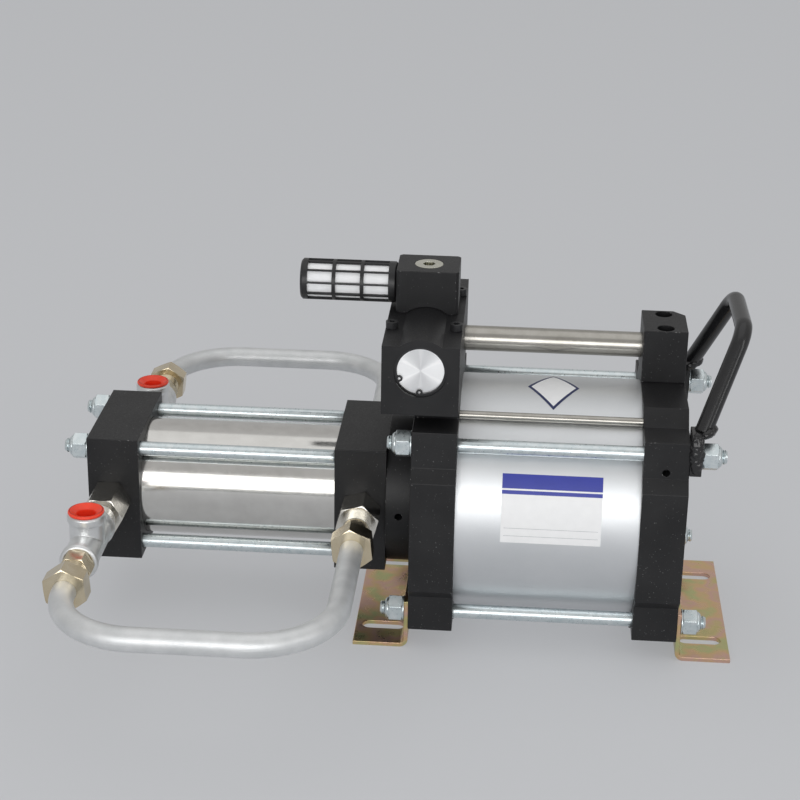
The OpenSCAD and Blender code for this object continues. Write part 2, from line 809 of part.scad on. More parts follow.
// The spool at the front end of its travel, with its lands
module valve_spool() {
    land_r = sleeve_bore / 2 - run_fit;
    land = spool_len / (2 * spool_lands - 1);
    color("#c8ccd0") translate([valve_mid, -spool_len / 2 - spool_travel / 2, spool_z]) rotate([-90, 0, 0]) {
        cylinder(h = spool_len, r = spool_waist_r);
        for (i = [0:spool_lands - 1]) translate([0, 0, 2 * i * land]) cylinder(h = land, r = land_r);
    }
}

// The exhaust block straddles the crest and takes the silencer
module exhaust_block() {
    c = block_chamfer;
    w = block_w / 2;
    d = block_d / 2;
    color("#2a2a2e") difference() {
        translate([valve_mid, block_y, shoulder_z]) linear_extrude(block_h)
            polygon([
                [-w + c, -d], [w - c, -d], [w, -d + c], [w, d - c],
                [w - c, d], [-w + c, d], [-w, d - c], [-w, -d + c]
            ]);
        rod_y(valve_mid, block_y - d - eps, spool_z, block_d + 2 * eps, 2 * (crest_r + seat_fit));
        post(valve_mid, block_y, spool_z, silencer_z - spool_z, air_way_d);
        rod_x(block_x0 - eps, w + eps, silencer_way_d, block_y, silencer_z - axis_z);
        rod_x(block_x0 - eps, silencer_grip + 1 + eps, silencer_thread_d + 2 * seat_fit,
            block_y, silencer_z - axis_z);
        post(valve_mid, block_y, shoulder_z + block_h - port_plug_t,
            port_plug_t + eps, port_plug_d + 2 * seat_fit);
    }
}

module exhaust_port_plug() {
    socket_af = 8;
    socket_t = port_plug_t - 2;
    color("#b9b48e") translate([valve_mid, block_y, shoulder_z + block_h - port_plug_t]) difference() {
        cylinder(h = port_plug_t, d = port_plug_d);
        translate([0, 0, port_plug_t - socket_t])
            cylinder(h = port_plug_t, d = socket_af * 2 / sqrt(3), $fn = 6);
    }
}

// From the block's left face along the silencer
module at_silencer() {
    translate([block_x0, block_y, silencer_z]) rotate([0, -90, 0]) children();
}

module silencer_cage() {
    inner = cage_r - cage_wall;
    thread = silencer_thread_d / 2;
    way = silencer_way_d / 2;
    edge = 1.5;
    color("#141415") at_silencer() difference() {
        rotate_extrude() polygon([
            [way, -silencer_grip], [thread, -silencer_grip], [thread, 0], [cage_r - edge, 0], [cage_r, edge],
            [cage_r, silencer_len - edge], [cage_r - edge, silencer_len], [0, silencer_len],
            [0, silencer_len - cage_end], [inner, silencer_len - cage_end],
            [inner, cage_collar], [way, cage_collar]
        ]);
        for (i = [0:cage_columns - 1], j = [0:cage_rows / 2 - 1])
            rotate((j + 0.2) * 360 / cage_rows)
                translate([-cage_r - eps, -window_w / 2, window_start + i * (window_len + cage_rings)])
                    cube([2 * (cage_r + eps), window_w, window_len]);
    }
}

module silencer_element() {
    wall = 4;
    outer = cage_r - cage_wall - seat_fit;
    color("white") at_silencer() translate([0, 0, cage_collar]) difference() {
        cylinder(h = silencer_len - cage_collar - cage_end, r = outer);
        translate([0, 0, -eps]) cylinder(h = silencer_len, r = outer - wall);
    }
}

module transfer_tube() {
    len = 2 * (cap_in + tube_grip);
    color("#bdb9ab") difference() {
        rod_x(-len / 2, len, tube_d, tower_mid, tube_z - axis_z);
        rod_x(-len / 2 - eps, len + 2 * eps, tube_d - 2 * tube_wall, tower_mid, tube_z - axis_z);
    }
}

// The tower leads the tube's air down into the right cap
module transfer_tower() {
    c = tower_chamfer;
    back = tower_front + tower_d;
    color("#2a2a2e") difference() {
        translate([0, 0, seat_z]) linear_extrude(tower_h) polygon([
            [cap_in, tower_front], [cap_out, tower_front],
            [cap_out, back - c], [cap_out - c, back], [cap_in, back]
        ]);
        rod_x(cap_in - eps, tube_grip + eps, tube_d + 2 * seat_fit, tower_mid, tube_z - axis_z);
        rod_x(cap_in, cap_t / 2, air_way_d, tower_mid, tube_z - axis_z);
        post(cap_mid, tower_mid, seat_z - eps, tube_h + eps, air_way_d);
        for (side = [-1, 1]) {
            y = tower_mid + side * tower_hole_pitch / 2;
            post(cap_mid, y, seat_z - eps, tower_h + 2 * eps, tower_screw_d + 2 * bolt_fit);
            post(cap_mid, y, seat_z + tower_h - tower_hole_t, tower_hole_t + eps, tower_hole_d);
        }
    }
}

module tower_screws() {
    head_d = tower_hole_d - 2;
    seat = seat_z + tower_h - tower_hole_t;
    grip = tower_h - tower_hole_t + tower_screw_grip - 0.5;
    socket_af = 0.8 * tower_screw_d;
    color("#141416") for (side = [-1, 1])
        translate([cap_mid, tower_mid + side * tower_hole_pitch / 2, seat]) difference() {
            union() {
                cylinder(h = tower_screw_d, d = head_d);
                translate([0, 0, -grip]) cylinder(h = grip + tower_screw_d / 2, d = tower_screw_d);
            }
            translate([0, 0, tower_screw_d / 2])
                cylinder(h = tower_screw_d, d = socket_af * 2 / sqrt(3), $fn = 6);
        }
}

module pilot_tube() {
    wall = 1.5;
    len = 2 * (cap_in + tube_grip);
    color("#bdb9ab") difference() {
        rod_x(-len / 2, len, pilot_d, -pilot_y, pilot_z);
        rod_x(-len / 2 - eps, len + 2 * eps, pilot_d - 2 * wall, -pilot_y, pilot_z);
    }
}

// Sizes along a pilot pin, from the web in the cap outwards
pin_flange_t = 3;
pin_flange_d = pin_bore - 1.2;
pin_flange_x = cap_in + pin_web + stop_gap;
pin_spring_x = pin_flange_x + pin_flange_t;
pin_spring_len = cap_out - pin_plug_t - pin_spring_x;

// A pilot pin in the right cap, pushed back by the piston at the end of its stroke
module pilot_pin() {
    rod_x(cap_in - pin_reach, pin_web + pin_reach + stop_gap + pin_flange_t, pin_d, pin_place, pin_place);
    rod_x(pin_flange_x, pin_flange_t, pin_flange_d, pin_place, pin_place);
}

module pilot_spring() {
    translate([pin_spring_x, pin_place, axis_z + pin_place]) rotate([0, 90, 0])
        coil(pin_flange_d / 2 - 2 * spring_wire, spring_wire, pin_spring_len, spring_turns);
}

module pilot_pin_left() {
    color("#b0b4b8") mirror([1, 0, 0]) pilot_pin();
}

module pilot_pin_right() {
    color("#b0b4b8") pilot_pin();
}

module pilot_spring_left() {
    color("#9aa0a6") mirror([1, 0, 0]) pilot_spring();
}

module pilot_spring_right() {
    color("#9aa0a6") pilot_spring();
}

module pilot_plugs() {
    socket_af = pin_bore / 2;
    socket_t = pin_plug_t - 2;
    color("#8d9196") for (side = [0, 1]) mirror([side, 0, 0])
        translate([cap_out - pin_plug_t, pin_place, axis_z + pin_place]) rotate([0, 90, 0]) difference() {
            cylinder(h = pin_plug_t, d = pin_bore - 2 * seat_fit);
            translate([0, 0, pin_plug_t - socket_t])
                cylinder(h = pin_plug_t, d = socket_af * 2 / sqrt(3), $fn = 6);
        }
}

// The round flange between cap and head, vented between the two rod bushes
module spacer_flange() {
    color("#232327") difference() {
        union() {
            rod_x(spacer_x, spacer_t, spacer_d);
            rod_x(spacer_x - register_t, spacer_t + 2 * register_t, register_d);
        }
        rod_x(spacer_x - register_t - eps, spacer_t + 2 * (register_t + eps), rod_d + 2);
        rod_y(spacer_x + spacer_t / 2, -spacer_d, axis_z, spacer_d, spacer_vent_d);
    }
}

module rod_bushes() {
    d_out = rod_d + 2 * bush_wall;
    d_in = rod_d + 2 * run_fit;
    color("#b98d4a") {
        ring_x(-cap_out + register_t, cap_t - register_t, d_out, d_in);
        ring_x(head_r_x, head_t - register_t, d_out, d_in);
    }
}

// A gas head from x, with its inner face towards the cylinder (dir 1 faces +X) and its ports at mid
module head_blank(x, dir, mid) {
    inner = dir > 0 ? x + head_t : x;
    seat_x = dir > 0 ? inner - gas_seat : inner - eps;
    way_y = gas_r - check_way / 2 - 4;
    difference() {
        translate([x, -head_half, axis_z - head_half]) cube([head_t, 2 * head_half, 2 * head_half]);
        ring_x(seat_x, gas_seat + eps, 2 * (gas_outer_r + seat_fit), gas_bore - 2 * seat_fit);
        for (side = [-1, 1]) {
            at_line(mid, side) translate([0, 0, -port_depth]) cylinder(h = port_depth + eps, d = port_d);
            at_line(mid, side) translate([0, 0, way_y - head_half])
                cylinder(h = head_half - way_y, d = check_way);
            rod_x(min(mid, inner - eps), abs(inner - mid) + eps, check_way, side * way_y);
        }
    }
}

module gas_head_left() {
    color("#26262a") difference() {
        head_blank(head_l_x, 1, line_left);
        at_gas_ties() translate([0, 0, head_l_x - eps]) cylinder(h = head_t + 2 * eps, d = tie_hole_d);
    }
}

module gas_head_right() {
    color("#26262a") difference() {
        head_blank(head_r_x, -1, line_right);
        at_gas_ties() translate([0, 0, head_r_x - eps])
            cylinder(h = gas_tie_grip + eps, d = tie_d + 2 * seat_fit);
        rod_x(head_r_x - eps, head_t + 2 * eps, rod_d + 2 * (bush_wall + seat_fit));
        rod_x(head_r_x + head_t - register_t, register_t + eps, register_d + 2 * seat_fit);
    }
}

module gas_cylinder() {
    len = gas_gap + 2 * (gas_seat - gasket_t);
    color("#cfd1d2") ring_x(gas_mid - len / 2, len, 2 * gas_outer_r, gas_bore);
}

module cylinder_gaskets() {
    reach = gas_gap / 2 + gas_seat;
    color("#1c1c1c") for (x = [gas_mid - reach, gas_mid + reach - gasket_t])
        ring_x(x, gasket_t, 2 * gas_outer_r, gas_bore);
}

module gas_tie_rods() {
    color("#d3dadd") at_gas_ties() translate([0, 0, gas_tie_x]) cylinder(h = gas_tie_len, d = tie_d);
}

// Puts a piece on the left end of each gas tie rod, facing out
module at_gas_ends() {
    at_gas_ties() translate([0, 0, head_l_x]) rotate([180, 0, 0]) children();
}

module gas_tie_washers() {
    color("#d3dadd") at_gas_ends() washer();
}

module gas_tie_nuts() {
    color("#d3dadd") at_gas_ends() tie_nut();
}

// A check valve screwed into a head: hexagon, round end, valve chamber and threaded neck
module check_body(hex_len, turn, neck, neck_d) {
    thread_d = port_d - 2 * seat_fit;
    difference() {
        union() {
            translate([0, 0, -port_depth + 0.5]) cylinder(h = port_depth, d = thread_d);
            rotate(turn) hexagon(check_af, hex_len);
            if (hex_len < check_len)
                translate([0, 0, hex_len / 2]) cylinder(h = check_len - hex_len / 2, d = tail_d);
            translate([0, 0, check_len - eps]) cylinder(h = neck + eps, d = neck_d);
        }
        translate([0, 0, -port_depth - eps])
            cylinder(h = port_depth + check_len + neck + 2 * eps, d = check_way);
        translate([0, 0, room_start]) cylinder(h = check_room, d = check_bore);
    }
}

module check_valve_bodies() {
    color("#b7b4ad") for (side = [-1, 1]) {
        at_line(line_left, side) check_body(check_len, 0, neck_left, port_d - 2 * seat_fit);
        at_line(line_right, side)
            check_body(check_hex_right, check_turn_right, neck_right, neck_bore - 2 * seat_fit);
    }
}

// A poppet on its seat: an inlet seat is at the outer end of the chamber, an outlet seat at the head
module inlet_poppet() {
    translate([0, 0, room_start + check_room - stop_gap]) mirror([0, 0, 1]) {
        cylinder(h = poppet_t, r = poppet_r);
        cylinder(h = poppet_t + 6, r = poppet_stem_r);
    }
}

module outlet_poppet() {
    translate([0, 0, room_start + stop_gap]) {
        cylinder(h = poppet_t, r = poppet_r);
        cylinder(h = poppet_t + 6, r = poppet_stem_r);
    }
}

check_spring_len = check_room - stop_gap - poppet_t;

module check_spring() {
    coil(poppet_r - 2 * spring_wire, spring_wire, check_spring_len, spring_turns);
}

module inlet_poppet_left() {
    color("#c8a86a") at_line(line_left, -1) inlet_poppet();
}

module inlet_poppet_right() {
    color("#c8a86a") at_line(line_right, -1) inlet_poppet();
}

module outlet_poppet_left() {
    color("#c8a86a") at_line(line_left, 1) outlet_poppet();
}

module outlet_poppet_right() {
    color("#c8a86a") at_line(line_right, 1) outlet_poppet();
}

module inlet_spring_left() {
    color("#9aa0a6") at_line(line_left, -1) translate([0, 0, room_start]) check_spring();
}

module inlet_spring_right() {
    color("#9aa0a6") at_line(line_right, -1) translate([0, 0, room_start]) check_spring();
}

module outlet_spring_left() {
    color("#9aa0a6") at_line(line_left, 1)
        translate([0, 0, room_start + stop_gap + poppet_t]) check_spring();
}

module outlet_spring_right() {
    color("#9aa0a6") at_line(line_right, 1)
        translate([0, 0, room_start + stop_gap + poppet_t]) check_spring();
}

// One arm of the tee from its middle, with the band at its end
module tee_arm(len) {
    edge = 1.5;
    rotate_extrude() polygon([
        [0, 0], [tee_d / 2, 0], [tee_d / 2, len - band_w - edge], [band_d / 2 - 0.5, len - band_w],
        [band_d / 2, len - band_w + 1], [band_d / 2, len - edge], [band_d / 2 - edge, len], [0, len]
    ]);
}

// A cast tee with its branch up, screwed on a left check valve
module line_tee(side) {
    up = side > 0 ? 90 : -90;
    at_line(line_left, side) translate([0, 0, tee_mid]) difference() {
        union() {
            tee_arm(tee_half);
            rotate([180, 0, 0]) tee_arm(tee_half);
            rotate([up, 0, 0]) tee_arm(tee_branch);
        }
        translate([0, 0, -tee_half - eps]) cylinder(h = 2 * (tee_half + eps), d = tee_bore_d);
        rotate([up, 0, 0]) cylinder(h = tee_branch + eps, d = tee_bore_d);
        for (turn = [0, 180]) rotate([turn, 0, 0])
            translate([0, 0, tee_half - port_grip - 0.5]) cylinder(h = port_grip + 1 + eps, d = port_d);
        rotate([up, 0, 0]) translate([0, 0, tee_branch - dust_depth - 0.5])
            cylinder(h = dust_depth + 1 + eps, d = port_d);
    }
}

module inlet_tee() {
    color("#c9cbcc") line_tee(-1);
}

module outlet_tee() {
    color("#c9cbcc") line_tee(1);
}

// Dust plugs in the branches: a hollow plug with a dished rim
module port_dust_plugs() {
    plug_r = port_d / 2 - seat_fit;
    rim_r = dust_rim_d / 2;
    hole_r = plug_r - dust_wall;
    edge = 0.75;
    bottom = 1.5;
    color("#d8301c") for (side = [-1, 1])
        translate([line_left, side * (head_half + tee_mid), axis_z + tee_branch]) rotate_extrude() polygon([
            [0, -dust_depth], [plug_r, -dust_depth], [plug_r, 0], [rim_r, 0], [rim_r, dust_rim_t - edge],
            [rim_r - edge, dust_rim_t], [rim_r - 2 * edge, dust_rim_t], [hole_r, -edge],
            [hole_r, bottom - dust_depth], [0, bottom - dust_depth]
        ]);
}

// The pipe end of an adaptor, from its hexagon out: a thread that shows, and one under the nut
module adaptor_tail(show) {
    translate([0, 0, -eps]) cylinder(h = show + tail_grip + eps, d = tail_d);
}

// The way through an adaptor, with the pipe's socket
module adaptor_way(start, show) {
    translate([0, 0, start]) cylinder(h = show + tail_grip - start, d = check_way + 2);
    translate([0, 0, show + tail_grip - pipe_socket])
        cylinder(h = pipe_socket + eps, d = pipe_d + 2 * seat_fit);
}

// Screwed into the tee
module male_adaptor() {
    difference() {
        union() {
            translate([0, 0, -adaptor_len - port_grip])
                cylinder(h = port_grip + eps, d = port_d - 2 * seat_fit);
            translate([0, 0, -adaptor_len]) hexagon(adaptor_af, adaptor_len);
            adaptor_tail(adaptor_show);
        }
        adaptor_way(-adaptor_len - port_grip - eps, adaptor_show);
    }
}

// A sleeve screwed over a right check valve's neck
module female_adaptor() {
    difference() {
        translate([0, 0, -adaptor_hold]) cylinder(h = adaptor_hold + nut_gap + tail_grip, d = tail_d);
        translate([0, 0, -adaptor_hold - eps]) cylinder(h = neck_grip + 0.5 + eps, d = neck_bore);
        adaptor_way(-adaptor_hold - eps, nut_gap);
    }
}

// Along each line, the outer face of an adaptor's body and the start of its nut
adaptor_hold = neck_grip + 3;
adaptor_left = tee_end + adaptor_len;
adaptor_right = check_len + neck_gap + adaptor_hold;
nut_left = adaptor_left + adaptor_show;
nut_right = adaptor_right + nut_gap;

module pipe_adaptors() {
    color("#c2a96a") for (side = [-1, 1]) {
        at_line(line_left, side) translate([0, 0, adaptor_left]) male_adaptor();
        at_line(line_right, side) translate([0, 0, adaptor_right]) female_adaptor();
    }
}

// A union nut over an adaptor's end
module union_nut() {
    difference() {
        rotate(pipe_nut_turn) hexagon(pipe_nut_af, pipe_nut_len);
        translate([0, 0, -eps]) cylinder(h = tail_grip + 0.5 + eps, d = tail_d + 2 * seat_fit);
        translate([0, 0, -eps]) cylinder(h = pipe_nut_len + 2 * eps, d = pipe_d + 2 * seat_fit);
    }
}

module pipe_nuts() {
    color("#c2a96a") for (side = [-1, 1]) {
        at_line(line_left, side) translate([0, 0, nut_left]) union_nut();
        at_line(line_right, side) translate([0, 0, nut_right]) union_nut();
    }
}

// A pipe in the level of the rod's axis: out, along and back
module pipe(side) {
    left_start = nut_left + tail_grip - pipe_socket;
    right_start = nut_right + tail_grip - pipe_socket;
    bend_out = pipe_out - head_half - bend_r;
    difference() {
        pipe_solid(side, left_start, right_start, bend_out, pipe_d);
        pipe_solid(side, left_start - eps, right_start - eps, bend_out, pipe_d - 2 * pipe_wall);
    }
}

module pipe_solid(side, left_start, right_start, bend_out, d) {
    at_line(line_left, side) translate([0, 0, left_start]) cylinder(h = bend_out - left_start, d = d);
    at_line(line_right, side) translate([0, 0, right_start]) cylinder(h = bend_out - right_start, d = d);
    run = line_right - line_left - 2 * bend_r;
    translate([line_left + bend_r, side * pipe_out, axis_z]) rotate([0, 90, 0]) cylinder(h = run, d = d);
    for (end = [-1, 1]) {
        x = end < 0 ? line_left + bend_r : line_right - bend_r;
        from = end < 0 ? 180 : 270;
        translate([x, side * (pipe_out - bend_r), axis_z]) mirror([0, side > 0 ? 1 : 0, 0]) rotate(from)
            rotate_extrude(angle = 90) translate([bend_r, 0]) circle(d = d);
    }
}

module inlet_pipe() {
    color("#aeb3b6") pipe(-1);
}

module outlet_pipe() {
    color("#aeb3b6") pipe(1);
}

// Sizes along the rod with the pistons at mid-stroke
nut_room = rod_nut_h + 2;
nut_room_d = 2 * rod_nut_af / sqrt(3) + 1.5;

// A piston from x, with two seal grooves and a nut recess on one end: dir 1 has it on +X
module piston(x, t, r, groove, dir) {
    difference() {
        rod_x(x, t, 2 * (r - piston_fit));
        for (at = seal_places(x, t)) difference() {
            rod_x(at, seal_w, 2 * r);
            rod_x(at - eps, seal_w + 2 * eps, 2 * (r - groove));
        }
        rod_x(x - eps, t + 2 * eps, rod_end_d + 2 * seat_fit);
        rod_x(dir > 0 ? x + t - nut_room : x - eps, nut_room + eps, nut_room_d);
    }
}

// Where the two seals of a piston start
function seal_places(x, t) = [x + t / 4 - seal_w / 2, x + 3 * t / 4 - seal_w / 2];

module seals(x, t, r, groove) {
    for (at = seal_places(x, t))
        ring_x(at + seat_fit, seal_w - 2 * seat_fit, 2 * (r - run_fit), 2 * (r - groove + seat_fit));
}

drive_piston_x = -drive_piston_t / 2;
gas_piston_x = gas_mid - gas_piston_t / 2;

module drive_piston() {
    color("#aab0b5") piston(drive_piston_x, drive_piston_t, bore_r, drive_groove, 1);
}

module drive_piston_seals() {
    color("#202022") seals(drive_piston_x, drive_piston_t, bore_r, drive_groove);
}

module gas_piston() {
    color("#aab0b5") piston(gas_piston_x, gas_piston_t, gas_r, gas_groove, -1);
}

module gas_piston_seals() {
    color("#202022") seals(gas_piston_x, gas_piston_t, gas_r, gas_groove);
}

module piston_rod() {
    shoulder = gas_piston_x + gas_piston_t;
    tip = 1;
    color("#dadde0") {
        rod_x(shoulder, drive_piston_x - shoulder, rod_d);
        rod_x(gas_piston_x + tip, drive_piston_t / 2 - 2 * tip - gas_piston_x, rod_end_d);
    }
}

module piston_nuts() {
    bore = rod_end_d + 2 * seat_fit;
    color("#c9ced2") {
        rod_nut(drive_piston_t / 2 - nut_room, bore);
        rod_nut(gas_piston_x + nut_room - rod_nut_h, bore);
    }
}

module rod_nut(x, bore) {
    translate([x, 0, axis_z]) rotate([0, 90, 0]) nut(rod_nut_af, rod_nut_h, bore);
}

drive_cap_left();
drive_cap_right();
drive_barrel();
barrel_gaskets();
drive_tie_rods();
drive_tie_washers();
drive_tie_nuts();
mounting_bracket_left();
mounting_bracket_right();
carry_handle();
valve_body();
valve_screws();
valve_end_discs();
valve_circlips();
valve_sleeve();
valve_spool();
exhaust_block();
exhaust_port_plug();
silencer_cage();
silencer_element();
transfer_tube();
transfer_tower();
tower_screws();
pilot_tube();
pilot_pin_left();
pilot_pin_right();
pilot_spring_left();
pilot_spring_right();
pilot_plugs();
spacer_flange();
rod_bushes();
gas_head_left();
gas_head_right();
gas_cylinder();
cylinder_gaskets();
gas_tie_rods();
gas_tie_washers();
gas_tie_nuts();
check_valve_bodies();
inlet_poppet_left();
inlet_poppet_right();
outlet_poppet_left();
outlet_poppet_right();
inlet_spring_left();
inlet_spring_right();
outlet_spring_left();
outlet_spring_right();
inlet_tee();
outlet_tee();
port_dust_plugs();
pipe_adaptors();
pipe_nuts();
inlet_pipe();
outlet_pipe();
drive_piston();
drive_piston_seals();
piston_rod();
gas_piston();
gas_piston_seals();
piston_nuts();
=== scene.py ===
"""The looks of an air pressure booster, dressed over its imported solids. Metres, in the row frame."""

import json
import math

import bmesh
import bpy
from mathutils import Matrix, Vector, noise


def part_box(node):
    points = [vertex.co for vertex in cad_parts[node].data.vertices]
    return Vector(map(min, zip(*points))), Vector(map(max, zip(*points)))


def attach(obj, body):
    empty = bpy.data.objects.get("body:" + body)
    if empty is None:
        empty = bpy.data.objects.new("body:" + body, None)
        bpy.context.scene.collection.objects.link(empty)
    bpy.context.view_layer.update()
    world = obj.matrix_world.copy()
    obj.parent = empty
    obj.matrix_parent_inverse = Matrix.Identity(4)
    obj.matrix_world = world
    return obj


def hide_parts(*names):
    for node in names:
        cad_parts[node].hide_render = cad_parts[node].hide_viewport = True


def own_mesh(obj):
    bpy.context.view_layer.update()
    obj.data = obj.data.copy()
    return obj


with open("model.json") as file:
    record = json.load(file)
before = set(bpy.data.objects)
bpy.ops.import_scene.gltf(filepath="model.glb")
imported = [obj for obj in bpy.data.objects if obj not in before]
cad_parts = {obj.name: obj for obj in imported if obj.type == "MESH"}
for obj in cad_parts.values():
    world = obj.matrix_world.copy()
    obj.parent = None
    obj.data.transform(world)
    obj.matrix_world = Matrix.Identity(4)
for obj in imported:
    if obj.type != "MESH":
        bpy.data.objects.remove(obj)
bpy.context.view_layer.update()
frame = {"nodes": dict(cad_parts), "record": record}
NODES = frame["nodes"]
MM = 0.001

# Camera solved from the photograph, for a frame of 800 by 800 pixels
IMAGE_PX = 800
FOCAL_PX = 1926.9
CAMERA_AZIMUTH = math.radians(3.75)
CAMERA_ELEVATION = math.radians(22.30)
CAMERA_ROLL = math.radians(-1.03)
CAMERA_DISTANCE = 1.3767
CAMERA_AIM = Vector((-0.1073, 0, 0.1577))
SENSOR_MM = 36

# Places taken from the solids
BARREL_LOW, BARREL_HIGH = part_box("drive_barrel")
AXIS_Z = (BARREL_LOW.z + BARREL_HIGH.z) / 2
BARREL_R = (BARREL_HIGH.z - BARREL_LOW.z) / 2

# Threads of the tie rods and of the gas lines' fittings
TIE_R = 5 * MM
TIE_TIP = 1.2 * MM
TIE_END_R = TIE_R - 1.0 * MM
TIE_PITCH = 1.5 * MM
TIE_THREAD_DEPTH = 0.7 * MM
DRIVE_THREAD = 17 * MM
GAS_THREAD_LEFT = 18 * MM
GAS_THREAD_RIGHT = 20 * MM
LINE_PITCH = 1.8 * MM
LINE_THREAD_DEPTH = 0.8 * MM


# Node graphs

def add_node(tree, kind, settings=None, inputs=None):
    """A shader node with its settings, and its inputs set or linked."""
    made = tree.nodes.new(kind)
    for key, value in (settings or {}).items():
        setattr(made, key, value)
    for key, value in (inputs or {}).items():
        if isinstance(value, bpy.types.NodeSocket):
            tree.links.new(value, made.inputs[key])
        else:
            made.inputs[key].default_value = value
    return made


def principled(name, colour, metallic, roughness):
    """A material and its shader, with the values that are the same all over."""
    made = bpy.data.materials.new(name)
    made.use_nodes = True
    shader = made.node_tree.nodes["Principled BSDF"]
    shader.inputs["Base Color"].default_value = (*colour, 1)
    shader.inputs["Metallic"].default_value = metallic
    shader.inputs["Roughness"].default_value = roughness
    return made, shader


def cloud(tree, size, detail=3.0, stretch=(1, 1, 1)):
    """A noise between 0 and 1 with features of about that size in metres."""
    coords = add_node(tree, "ShaderNodeTexCoord")
    place = add_node(tree, "ShaderNodeMapping", inputs={
        "Vector": coords.outputs["Object"], "Scale": stretch})
    made = add_node(tree, "ShaderNodeTexNoise", inputs={
        "Vector": place.outputs["Vector"], "Scale": 1 / size, "Detail": detail})
    return made.outputs["Fac"]


def spread(tree, value, low, high, start=0.3, end=0.7):
    """Maps a value from start..end to low..high."""
    made = add_node(tree, "ShaderNodeMapRange", inputs={
        "Value": value, "From Min": start, "From Max": end, "To Min": low, "To Max": high})
    return made.outputs["Result"]


def shades(tree, value, stops):
    """A colour ramp over (position, colour) stops."""
    made = add_node(tree, "ShaderNodeValToRGB", inputs={"Fac": value})
    ramp = made.color_ramp
    while len(ramp.elements) < len(stops):
        ramp.elements.new(0.5)
    for element, (position, colour) in zip(ramp.elements, stops):
        element.position = position
        element.color = (*colour, 1)
    return made.outputs["Color"]


def blend(tree, factor, first, second):
    """A colour between two colours."""
    colour_a, colour_b, colour_out = 6, 7, 2
    made = add_node(tree, "ShaderNodeMix", {"data_type": "RGBA"}, {
        0: factor, colour_a: first, colour_b: second})
    return made.outputs[colour_out]


def rough_and_bump(made, shader, low, high, grain, height, stretch=(1, 1, 1)):
    """Varies the roughness and adds a fine relief from one noise."""
    tree = made.node_tree
    fine = cloud(tree, grain, stretch=stretch)
    tree.links.new(spread(tree, fine, low, high), shader.inputs["Roughness"])
    bump = add_node(tree, "ShaderNodeBump", inputs={"Height": fine, "Distance": height, "Strength": 0.5})
    tree.links.new(bump.outputs["Normal"], shader.inputs["Normal"])


def tint(made, shader, size, stops, stretch=(1, 1, 1)):
    """Varies the colour over a noise."""
    tree = made.node_tree
    colour = shades(tree, cloud(tree, size, stretch=stretch), stops)
    tree.links.new(colour, shader.inputs["Base Color"])


# Materials

def black_anodised(name, spot_size, spot_start, spot_colour):
    """Satin black anodising with small pale spots: dust on the faces, bare metal on the edges."""
    made, shader = principled(name, (0.014, 0.014, 0.015), 0.0, 0.42)
    shader.inputs["Specular IOR Level"].default_value = 0.32
    rough_and_bump(made, shader, 0.38, 0.52, 0.8 * MM, 0.004 * MM)
    tree = made.node_tree
    ground = shades(tree, cloud(tree, 30 * MM), [
        (0.3, (0.009, 0.009, 0.010)), (0.7, (0.016, 0.016, 0.017))])
    spots = spread(tree, cloud(tree, spot_size, detail=0.5), 0, 1, spot_start, spot_start + 0.03)
    tree.links.new(blend(tree, spots, ground, (*spot_colour, 1)), shader.inputs["Base Color"])
    return made


def metal(name, colours, roughness, grain, height, size=12 * MM, stretch=(1, 1, 1), metallic=1.0):
    """A metal between two colours, with a roughness range and a relief."""
    made, shader = principled(name, colours[0], metallic, roughness[0])
    tint(made, shader, size, [(0.3, colours[0]), (0.7, colours[1])], stretch)
    rough_and_bump(made, shader, roughness[0], roughness[1], grain, height, stretch)
    return made


def yellow_zinc():
    """Yellow passivated zinc with its rainbow drift of olive, ochre, pink and green."""
    made, shader = principled("yellow_zinc", (0.66, 0.52, 0.26), 1.0, 0.3)
    tint(made, shader, 34 * MM, [
        (0.28, (0.48, 0.47, 0.22)), (0.38, (0.64, 0.52, 0.25)), (0.46, (0.70, 0.45, 0.37)),
        (0.53, (0.72, 0.50, 0.27)), (0.60, (0.54, 0.55, 0.26)), (0.68, (0.66, 0.50, 0.30)),
        (0.76, (0.68, 0.42, 0.34))])
    rough_and_bump(made, shader, 0.26, 0.36, 6 * MM, 0.004 * MM)
    return made


def plastic(name, colour, roughness, fall=0.85):
    """A moulded plastic with a faint grain; fall is how dark its darker places are."""
    made, shader = principled(name, colour, 0.0, roughness)
    darker = tuple(c * fall for c in colour)
    tint(made, shader, 6 * MM, [(0.3, darker), (0.7, colour)])
    rough_and_bump(made, shader, roughness - 0.04, roughness + 0.06, 0.5 * MM, 0.01 * MM)
    return made


def turned(name):
    """Fine turned aluminium: grooves round the piece's own Z axis, and painted highlights: bright rays
    painted into the colour by angle round a faced disc.
    """
    made, shader = principled(name, (0.80, 0.81, 0.82), 1.0, 0.42)
    tree = made.node_tree
    # Painted highlights: the base colour turns brighter, up to white, along this many rays round the disc
    rays = 6
    shader.inputs["Anisotropic"].default_value = 0.6
    around = add_node(tree, "ShaderNodeTangent", {"direction_type": "RADIAL", "axis": "Z"})
    tree.links.new(around.outputs["Tangent"], shader.inputs["Tangent"])
    coords = add_node(tree, "ShaderNodeTexCoord")
    turn = add_node(tree, "ShaderNodeTexGradient", {"gradient_type": "RADIAL"}, {
        "Vector": coords.outputs["Object"]})
    angle = add_node(tree, "ShaderNodeMath", {"operation": "MULTIPLY"}, {
        0: turn.outputs["Fac"], 1: 2 * math.pi * rays})
    wave = add_node(tree, "ShaderNodeMath", {"operation": "COSINE"}, {0: angle.outputs["Value"]})
    # Painted highlight rays: white at each ray's middle, falling to the disc's own colour between them
    colour = shades(tree, spread(tree, wave.outputs["Value"], 0, 1, -1.0, 1.0), [
        (0.01, (1.0, 1.0, 1.0)), (0.06, (0.96, 0.965, 0.97)), (0.18, (0.90, 0.905, 0.91)),
        (1.0, (0.87, 0.875, 0.88))])
    tree.links.new(colour, shader.inputs["Base Color"])
    return made


